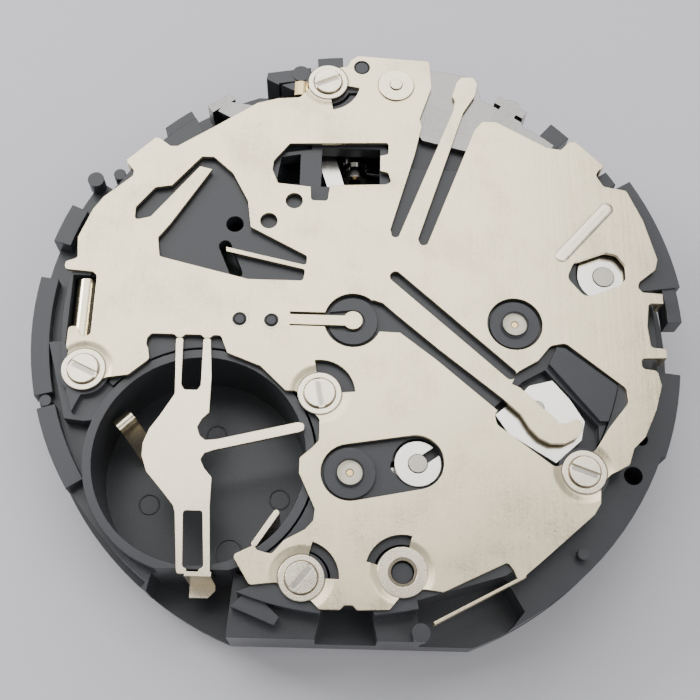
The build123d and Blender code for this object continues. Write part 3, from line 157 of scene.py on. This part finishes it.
# How each metal looks: base colour, roughness, size of its mottle, and depth of its grain
metalLooks = {
    "coverNickel": {"color": (0.85, 0.735, 0.51), "rough": 0.3, "mottle": 1.3, "spread": 0.16, "grain": 0.005},
    "clampNickel": {"color": (0.86, 0.76, 0.57), "rough": 0.25, "mottle": 1.0, "spread": 0.1, "grain": 0.003},
    "leverSteel": {"color": (0.80, 0.78, 0.73), "rough": 0.20, "mottle": 1.4, "spread": 0.06, "grain": 0.002},
    # The reset and start-stop levers are the lever steel darkened: painted shade where they lie in the gap
    # under the cover
    "shadedResetSteel": {"color": (0.3, 0.29, 0.275), "rough": 0.24, "mottle": 0.9, "spread": 0.14, "grain": 0.002},
    # Pin steel for the lever posts, and also for the dark strips in the screw slots and round the rib: painted
    # shade
    "pinSteelAndShade": {"color": (0.46, 0.43, 0.38), "rough": 0.28, "mottle": 2.0, "spread": 0.08, "grain": 0.002},
    # A lighter copy of the cover's nickel for the seats, hole rims and rib: painted highlight
    "highlightNickel": {"color": (0.88, 0.79, 0.62), "rough": 0.24, "mottle": 1.3, "spread": 0.08, "grain": 0.003},
    "screwSteel": {"color": (0.86, 0.78, 0.63), "rough": 0.20, "mottle": 2.2, "spread": 0.12, "grain": 0.004},
    "postSteel": {"color": (0.74, 0.72, 0.68), "rough": 0.18, "mottle": 2.0, "spread": 0.05, "grain": 0.002},
    "wheelBrass": {"color": (0.80, 0.60, 0.30), "rough": 0.26, "mottle": 1.0, "spread": 0.08, "grain": 0.002},
    "coreAlloy": {"color": (0.55, 0.54, 0.52), "rough": 0.42, "mottle": 1.0, "spread": 0.10, "grain": 0.004},
    "shadeBlack": {"color": (0.05, 0.05, 0.05), "rough": 0.45, "mottle": 1.0, "spread": 0.10, "grain": 0.002},
    "guardSteel": {"color": (0.72, 0.71, 0.69), "rough": 0.30, "mottle": 0.8, "spread": 0.06, "grain": 0.003},
    "crystalCan": {"color": (0.82, 0.74, 0.55), "rough": 0.24, "mottle": 1.5, "spread": 0.08, "grain": 0.003},
}

# What all metals share. Each triple gives the shares of the clouds, the speckle and the hairlines.
metalMix = {"cloud": 0.3, "speckle": 9, "hair": 5.0, "hairStretch": (1, 0.04, 1), "hairTurn": 0.9,
            "shade": (0.55, 0.3, 0.15), "rough": (0.16, 0.12, 0.08), "height": (2.0, 0.7, 1.0),
            "roughMiddle": 0.18, "darker": 1.4, "lighter": 0.5, "stops": (0.38, 0.5, 0.64)}


def makeMetal(name):
    look = metalLooks[name]
    shop = Shop(name)
    # Broad cloudy patches, a fine speckle like a pickled sheet, and hairlines that run across it
    cloud = shop.noise(look["mottle"] * metalMix["cloud"], 4.0)
    speckle = shop.noise(look["mottle"] * metalMix["speckle"], 2.0, 0.7)
    hair = shop.noise(metalMix["hair"], 3.0, 0.65, metalMix["hairStretch"], metalMix["hairTurn"])
    layers = (cloud, speckle, hair)
    dark = tuple(c * (1 - look["spread"] * metalMix["darker"]) for c in look["color"])
    light = tuple(min(1, c * (1 + look["spread"] * metalMix["lighter"])) for c in look["color"])
    stops = list(zip(metalMix["stops"], (dark, look["color"], light)))
    shade = shop.ramp(mixed(layers, metalMix["shade"]), stops)
    rough = mixed(layers, metalMix["rough"]) + (look["rough"] - metalMix["roughMiddle"])
    height = mixed(layers, metalMix["height"]) * look["grain"]
    if name == "coverNickel":
        away = shop.away(seats["places"][0])
        for place in seats["places"][1:]:
            away = away.least(shop.away(place))
        outer = seats["outer"]
        height = height + away.slope(outer, seats["dip"]) * seats["sink"]
        # A dark line just outside each seat's ring: painted shade in the crease
        line = 1 - away.slope(outer + seats["lineFrom"], outer + seats["lineTo"])
        shade = shop.blend(line * seats["shadeLineShare"], shade, seats["shadeLineColor"])
    return shop.finish(color=shade, rough=rough, metal=1.0, normal=shop.relief(height))


# Moulded plastics: base colour, roughness and depth of the spark-eroded texture
plasticLooks = {
    "platePlastic": {"color": (0.030, 0.032, 0.037), "rough": 0.33, "pit": 0.004},
    "bridgePlastic": {"color": (0.022, 0.024, 0.029), "rough": 0.34, "pit": 0.003},
    "wheelPlastic": {"color": (0.55, 0.55, 0.52), "rough": 0.42, "pit": 0.002},
    "dateRing": {"color": (0.80, 0.80, 0.78), "rough": 0.50, "pit": 0.002},
    "bushWhite": {"color": (0.62, 0.57, 0.45), "rough": 0.24, "pit": 0.001},
    "chipBlack": {"color": (0.015, 0.015, 0.016), "rough": 0.35, "pit": 0.003},
    "boardGreen": {"color": (0.008, 0.03, 0.014), "rough": 0.30, "pit": 0.002},
}

# What all plastics share: fine pits, broad flow marks that look a little worn, and a few specks of dust
plasticMix = {"pits": 14.0, "flow": 0.35, "flowStretch": (1, 0.5, 1), "flowTurn": 0.6, "flowShare": 0.6,
              "dust": 7.0, "dustStops": [(0.70, (0, 0, 0)), (0.76, (1, 1, 1))], "dustShare": 0.03,
              "dustColor": (0.5, 0.5, 0.5, 1), "worn": 1.8, "wornLeast": 0.01, "rough": (0.14, 0.10),
              "roughMiddle": 0.12, "edge": 0.04}


def makePlastic(name):
    look = plasticLooks[name]
    shop = Shop(name)
    pits = shop.noise(plasticMix["pits"], 2.0, 0.6)
    flow = shop.noise(plasticMix["flow"], 3.0, 0.5, plasticMix["flowStretch"], plasticMix["flowTurn"])
    dust = shop.ramp(shop.noise(plasticMix["dust"], 1.0, 0.4), plasticMix["dustStops"])
    worn = tuple(c * plasticMix["worn"] + plasticMix["wornLeast"] for c in look["color"])
    base = shop.blend(flow * plasticMix["flowShare"], (*look["color"], 1), (*worn, 1))
    shade = shop.blend(dust * plasticMix["dustShare"], base, plasticMix["dustColor"])
    rough = mixed((pits, flow), plasticMix["rough"]) + (look["rough"] - plasticMix["roughMiddle"])
    normal = shop.relief(pits * look["pit"], plasticMix["edge"])
    return shop.finish(color=shade, rough=rough, metal=0.0, normal=normal)


# Enamelled wire in even turns, each a round ridge across the coil, with painted shade between the turns and a
# painted highlight on each ridge. The turns are in degrees, and the bands of a wave texture are period / scale
# apart.
coilLook = {"color": (0.36, 0.10, 0.03), "light": (0.75, 0.30, 0.12), "rough": 0.3, "metal": 0.6,
            "wire": 0.06, "period": 0.31, "wobble": 0.3, "ridge": 0.02,
            "turns": {"coil": -19.8, "chronoCoil": 33.1}}


def makeCoil(name):
    shop = Shop(name)
    grid = shop.grid((1, 1, 1), np.radians(coilLook["turns"][name]))
    wave = shop.make("ShaderNodeTexWave", {"wave_type": "BANDS", "bands_direction": "X"},
                     {"Vector": grid, "Scale": coilLook["period"] / coilLook["wire"],
                      "Distortion": coilLook["wobble"]}, output=1)
    # The ramp paints shade in the grooves and a highlight on the crests of the turns
    shade = shop.ramp(wave, [(0.0, coilLook["color"]), (1.0, coilLook["light"])])
    normal = shop.relief(wave * coilLook["ridge"])
    return shop.finish(color=shade, rough=coilLook["rough"], metal=coilLook["metal"], normal=normal)


finishes = {name: makeMetal(name) for name in metalLooks}
finishes.update({name: makePlastic(name) for name in plasticLooks})
finishes.update({name: makeCoil(name) for name in coilLook["turns"]})

wears = {
    "platePlastic": ["main_plate"],
    "bridgePlastic": ["chronograph_bridge"],
    "coverNickel": ["circuit_cover"],
    "clampNickel": ["battery_clamp", "battery_contact", "positive_contact", "cover_rivet"],
    "screwSteel": ["cover_screws", "guard_screws"],
    "leverSteel": ["second_hammer", "minute_hammer", "coupling_lever", "setting_lever", "yoke",
                   "date_jumper"],
    "shadedResetSteel": ["reset_lever", "start_stop_lever"],
    "pinSteelAndShade": ["lever_posts"],
    "postSteel": ["clutch_wheel"],
    "wheelBrass": ["center_wheel", "third_wheel", "fifth_wheel", "cannon_pinion", "minute_wheel",
                   "chrono_second_wheel", "chrono_first_wheel", "chrono_drive_wheel", "chrono_transfer_wheel",
                   "chrono_idler", "minute_counter_wheel", "setting_wheel"],
    "wheelPlastic": ["hour_wheel", "day_wheel", "date_driver", "rotor", "chrono_rotor"],
    "dateRing": ["date_dial"],
    "guardSteel": ["date_guard", "train_bridge"],
    "bushWhite": ["pivot_bushes"],
    "coil": ["coil_winding"],
    "chronoCoil": ["chrono_coil_winding"],
    "coreAlloy": ["coil_core", "chrono_coil_core", "stator", "chrono_stator"],
    "boardGreen": ["circuit_board"],
    "chipBlack": ["ic_block"],
    "crystalCan": ["quartz_crystal"],
}
for finish, names in wears.items():
    for name in names:
        mesh = nodes[name].data
        mesh.materials.clear()
        mesh.materials.append(finishes[finish])
assert sorted(name for names in wears.values() for name in names) == sorted(nodes)
print("finishes given:", len(finishes))


# A sheet of quads through a grid of points, in millimetres, given as rows by columns by three.
# With wrap, the last column joins the first. Faces look up where the rows run from the outside in and the
# columns run anticlockwise.
def makeSheet(name, points, finish, wrap=False):
    rows, columns = points.shape[:2]
    numbers = np.arange(rows * columns).reshape(rows, columns)
    here = numbers if wrap else numbers[:, :-1]
    beside = np.roll(numbers, -1, axis=1) if wrap else numbers[:, 1:]
    quads = np.stack([here[:-1], beside[:-1], beside[1:], here[1:]], axis=-1).reshape(-1, 4)
    mesh = bpy.data.meshes.new(name)
    mesh.from_pydata((points.reshape(-1, 3) * mm).tolist(), [], quads.tolist())
    mesh.materials.append(finishes[finish])
    piece = bpy.data.objects.new(name, mesh)
    bpy.context.scene.collection.objects.link(piece)
    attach(piece, "movement")
    return piece


# A profile of radius and level turned round the upright line at a place: x = r cos a, y = r sin a, z = level
def turned(profile, place, sides=72):
    profile = np.array(profile, float)
    angle = np.linspace(0, 2 * np.pi, sides, endpoint=False)
    radius = profile[:, :1]
    level = np.broadcast_to(profile[:, 1:], (len(profile), sides))
    return np.stack([place[0] + radius * np.cos(angle), place[1] + radius * np.sin(angle), level], axis=-1)


# Points turned by an angle in degrees and moved to a place
def placed(x, y, z, place, angle):
    turn = np.radians(angle)
    return np.stack([place[0] + x * np.cos(turn) - y * np.sin(turn),
                     place[1] + x * np.sin(turn) + y * np.cos(turn), z], axis=-1)


# The profile of a flat ring from its outer foot, over both edges, to its inner foot
def ringProfile(inner, outer, top, foot, edge):
    return [(outer, foot), (outer, top - edge), (outer - edge, top), (inner + edge, top), (inner, top - edge),
            (inner, foot)]


def middleOf(node):
    low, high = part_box(node)
    return (low[0] + high[0]) / 2 / mm, (low[1] + high[1]) / 2 / mm


# The clamp is a flat strap in the cover's plane, so its top is the cover's top
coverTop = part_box("battery_clamp")[1][2] / mm

# Screw seats: a flat ring with rounded edges, standing in its dip, in a lighter nickel that is a painted
# highlight
seatRing = {"rise": 0.035, "edge": 0.02, "foot": -0.1}
for number, place in enumerate(seats["places"], 1):
    screwed = number <= len(seats["slots"])
    inner, outer = (seats["inner"], seats["outer"]) if screwed else (seats["emptyInner"], seats["emptyOuter"])
    top, foot = coverTop + seatRing["rise"], coverTop + seatRing["foot"]
    ring = ringProfile(inner, outer, top, foot, seatRing["edge"])
    makeSheet(f"screw_seat_{number}", turned(ring, place), "highlightNickel", wrap=True)

# Screw heads: across the slot u runs from radius to -radius, along it v runs over the chord,
# x = v sqrt(radius^2 - u^2), y = u, and the level drops to the slot's floor where |u| is within it.
# The floor lies depth under the top, and the head's wall goes down to foot under the cover.
screwHead = {"radius": 0.69, "rise": 0.17, "edge": 0.03, "slot": 0.27, "depth": 0.13, "foot": 0.1,
             "steps": 16}
screwShank = {"radius": 0.35, "length": 2.2, "tuck": 0.05, "sides": 32}


def screwPoints(place, angle):
    radius, edge, half = screwHead["radius"], screwHead["edge"], screwHead["slot"] / 2
    side = radius * np.sin(np.linspace(np.arcsin(half / radius), np.pi / 2, screwHead["steps"]))
    flat = np.zeros(len(side))
    across = np.concatenate([side[::-1], [half], [half], [0.0], [-half], [-half], -side])
    drop = np.concatenate([flat, [0.0], [screwHead["depth"]] * 3, [0.0], flat])
    along = np.array([1.0, 1.0, 1 - edge / radius, 0.5, 0.0, -0.5, edge / radius - 1, -1.0, -1.0])
    chord = np.sqrt(np.maximum(radius ** 2 - across ** 2, 0))
    x = along * chord[:, None]
    y = np.broadcast_to(across[:, None], x.shape)
    top = coverTop + screwHead["rise"]
    z = np.full(x.shape, top)
    z[:, [1, -2]] = top - edge
    z = np.minimum(z, top - drop[:, None])
    z[:, [0, -1]] = coverTop - screwHead["foot"]
    return placed(x, y, z, place, angle)


for number, (place, angle) in enumerate(zip(seats["places"], seats["slots"]), 1):
    head = makeSheet(f"screw_head_{number}", screwPoints(place, angle), "screwSteel")
    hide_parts("cover_screws")
    radius, top, foot = screwShank["radius"], coverTop - screwShank["tuck"], coverTop - screwShank["length"]
    shank = [(0.0, foot), (radius, foot), (radius, top), (0.0, top)]
    makeSheet(f"screw_shank_{number}", turned(shank, place, screwShank["sides"]), "screwSteel", wrap=True)
print("seats and screws made")

# Plain plastic pins and floors seen in the cover's holes: place, radius, level below the cover's top
holePins = {"edge_peg": (spots["edge"], 0.36, 0.02),
            "left_peg": (spots["left"], 0.25, -0.02),
            "right_peg": (spots["right"], 0.25, -0.02),
            "empty_floor": (spots["empty"], 0.49, 0.22)}
pinForm = {"depth": 0.5, "edge": 0.04, "sides": 48}
for name, (place, radius, drop) in holePins.items():
    top, edge = coverTop - drop, pinForm["edge"]
    dome = [(radius, top - pinForm["depth"]), (radius, top - edge), (radius - edge, top), (0.0, top)]
    makeSheet(name, turned(dome, place, pinForm["sides"]), "bridgePlastic", wrap=True)

# Lighter and dark rings: the rims of the peg holes, the rivet's edge and hollow, the bushes' pivot holes. The
# lighter rims are a painted highlight and the dark rings are painted shade in the gaps.
# Each is place, inner and outer radius, rise over the cover's top, and finish.
rims = {"left_rim": (spots["left"], 0.335, 0.42, 0.012, "highlightNickel"),
        "right_rim": (spots["right"], 0.335, 0.42, 0.012, "highlightNickel"),
        "left_gap": (spots["left"], 0.25, 0.335, -0.05, "shadeBlack"),
        "right_gap": (spots["right"], 0.25, 0.335, -0.05, "shadeBlack"),
        "rivet_gap": (spots["rivet"], 0.90, 0.94, 0.006, "shadeBlack"),
        "rivet_ring": (spots["rivet"], 0.30, 0.335, 0.095, "shadeBlack"),
        "edge_gap": (spots["edge"], 0.35, 0.42, 0.006, "shadeBlack"),
        "drive_gap": (middleOf("chrono_drive_wheel"), 0.57, 0.63, 0.05, "shadeBlack"),
        "counter_gap": (middleOf("minute_counter_wheel"), 0.57, 0.63, 0.05, "shadeBlack"),
        "empty_rim": (spots["empty"], 0.50, 0.63, -0.03, "highlightNickel")}
rimForm = {"depth": 0.06, "edge": 0.01}
for name, (place, inner, outer, rise, finish) in rims.items():
    top = coverTop + rise
    ring = ringProfile(inner, outer, top, top - rimForm["depth"], rimForm["edge"])
    makeSheet(name, turned(ring, place), finish, wrap=True)

# Pressed rib in the cover, a low dome over a capsule: with t across it from -1 to 1 and s along it,
# level = top + rise sqrt(1 - t^6), and both ends close as half circles. A lower, wider one is its edge.
rib = {"from": (9.95, 3.65), "to": (12.25, 6.25), "half": 0.30, "rise": 0.03, "foot": -0.05, "edge": 0.035,
       "edgeRise": 0.012, "steps": 14, "shares": (1.0, 1.0, 0.9, 0.75, 0.5, 0.25, 0.02)}


def ribPoints(half, rise):
    start, end = np.array(rib["from"]), np.array(rib["to"])
    way = (end - start) / np.linalg.norm(end - start)
    side = np.array([-way[1], way[0]])
    angle = np.linspace(-np.pi / 2, np.pi / 2, rib["steps"])
    turn = np.concatenate([angle, angle + np.pi])
    middle = np.concatenate([np.tile(end, (rib["steps"], 1)), np.tile(start, (rib["steps"], 1))])
    out = np.cos(turn)[:, None] * way + np.sin(turn)[:, None] * side
    share = np.array(rib["shares"])
    flat = middle[None] + share[:, None, None] * half * out[None]
    level = coverTop + rise * np.sqrt(1 - share ** 6)
    level[0] = coverTop + rib["foot"]
    return np.concatenate([flat, np.broadcast_to(level[:, None, None], (*flat.shape[:2], 1))], axis=-1)


# The rib's darker, wider edge is painted shade, and the rib's lighter nickel is a painted highlight
makeSheet("cover_rib_edge", ribPoints(rib["half"] + rib["edge"], rib["edgeRise"]), "pinSteelAndShade", wrap=True)
makeSheet("cover_rib", ribPoints(rib["half"], rib["rise"]), "highlightNickel", wrap=True)

# Painted shade in the screw slots, each a thin dark strip with rounded ends that lies just over the slot's
# floor:
# y = width / 2 sqrt(1 - (2 x / length)^8)
slotFloor = {"length": 1.26, "width": 0.2, "lift": 0.004, "steps": 15}
for number, (place, angle) in enumerate(zip(seats["places"], seats["slots"]), 1):
    reach = slotFloor["length"] / 2
    edge = np.linspace(-reach, reach, slotFloor["steps"])
    half = slotFloor["width"] / 2 * np.sqrt(1 - (edge / reach) ** 8)
    level = coverTop + screwHead["rise"] - screwHead["depth"] + slotFloor["lift"]
    x, y = np.stack([edge, edge]), np.stack([-half, half])
    strip = placed(x, y, np.full(x.shape, level), place, angle)
    makeSheet(f"slot_shade_{number}", strip, "pinSteelAndShade")

# The stem's clip shows as a brass strip in the dark notch beside the top screw, bowed up in the middle
clip = {"from": -3.15, "to": -2.55, "low": 12.35, "high": 13.15, "level": 4.47, "bow": 0.08, "wall": 0.1,
        "steps": 9}
across, along = np.meshgrid(np.linspace(0, 1, clip["steps"]), np.linspace(1, 0, clip["steps"]))
clipX = clip["from"] + (clip["to"] - clip["from"]) * across
clipY = clip["low"] + (clip["high"] - clip["low"]) * along
clipZ = clip["level"] + clip["bow"] * np.sin(np.pi * across)
stemClip = makeSheet("stem_clip", np.stack([clipX, clipY, clipZ], axis=-1), "wheelBrass")
stemClip.modifiers.new("wall", "SOLIDIFY").thickness = clip["wall"] * mm
print("pegs, rims, rib and slots made")

# Camera, from the fit of the plate's circle and the screws to the photograph. Angles are in degrees, the
# place in millimetres, and the focal length and centre in pixels of the image.
view = {"tilt": 68.857, "roll": 3.690, "turn": -2.2, "place": (-1.15, -20.12, 52.97), "focal": 1120.2,
        "center": (343.0, 349.55), "image": 700, "sensor": 36, "near": 0.001, "far": 2}


def makeCamera():
    tilt, roll, turn = np.radians([view["tilt"], view["roll"], view["turn"]])
    back = np.array([0, -np.cos(tilt), np.sin(tilt)])
    right = np.array([1.0, 0, 0])
    up = np.cross(back, right)
    across = np.cos(roll) * right + np.sin(roll) * up
    over = -np.sin(roll) * right + np.cos(roll) * up
    spin = np.array([[np.cos(turn), -np.sin(turn), 0], [np.sin(turn), np.cos(turn), 0], [0, 0, 1]])
    axes = spin @ np.column_stack([across, over, back])
    camera = bpy.data.objects.new("camera", bpy.data.cameras.new("camera"))
    bpy.context.scene.collection.objects.link(camera)
    pose = Matrix(axes.tolist()).to_4x4()
    pose.translation = Vector(view["place"]) * mm
    camera.matrix_world = pose
    camera.data.sensor_width = view["sensor"]
    camera.data.lens = view["focal"] / view["image"] * view["sensor"]
    camera.data.shift_x = 0.5 - view["center"][0] / view["image"]
    camera.data.shift_y = view["center"][1] / view["image"] - 0.5
    camera.data.clip_start = view["near"]
    camera.data.clip_end = view["far"]
    bpy.context.scene.camera = camera


makeCamera()

# Studio: a pale, faintly mottled floor, a bright sky, and soft lamps given as place, width, watts
studio = {"floor": (0.66, 0.655, 0.70), "floorLevel": -1.62, "floorHalf": 900, "mottle": 0.8,
          "mottleShare": 0.3, "mottleShade": 0.93, "floorRough": 0.6, "sky": 0.45,
          "lamps": [((-25, 120, 190), 200, 0.34), ((-150, 70, 110), 70, 0.22), ((120, -60, 150), 120, 0.10)]}


def makeFloor():
    half, level = studio["floorHalf"] * mm, studio["floorLevel"] * mm
    corners = [(-half, -half, level), (half, -half, level), (half, half, level), (-half, half, level)]
    mesh = bpy.data.meshes.new("floor")
    mesh.from_pydata(corners, [], [(0, 1, 2, 3)])
    floor = bpy.data.objects.new("floor", mesh)
    bpy.context.scene.collection.objects.link(floor)
    shop = Shop("floorCard")
    fleck = shop.noise(studio["mottle"], 3.0)
    darker = tuple(c * studio["mottleShade"] for c in studio["floor"])
    shade = shop.blend(fleck * studio["mottleShare"], (*studio["floor"], 1), (*darker, 1))
    mesh.materials.append(shop.finish(color=shade, rough=studio["floorRough"], metal=0.0))


def makeLight():
    world = bpy.data.worlds.new("sky")
    bpy.context.scene.world = world
    world.use_nodes = True
    background = world.node_tree.nodes["Background"]
    background.inputs["Color"].default_value = (1, 1, 1, 1)
    background.inputs["Strength"].default_value = studio["sky"]
    for number, (place, width, watts) in enumerate(studio["lamps"]):
        lamp = bpy.data.lights.new(f"lamp{number}", "AREA")
        lamp.size = width * mm
        lamp.energy = watts
        holder = bpy.data.objects.new(f"lamp{number}", lamp)
        bpy.context.scene.collection.objects.link(holder)
        holder.location = Vector(place) * mm
        holder.rotation_euler = Vector(place).to_track_quat("Z", "Y").to_euler()


makeFloor()
makeLight()
print("camera and studio ready")
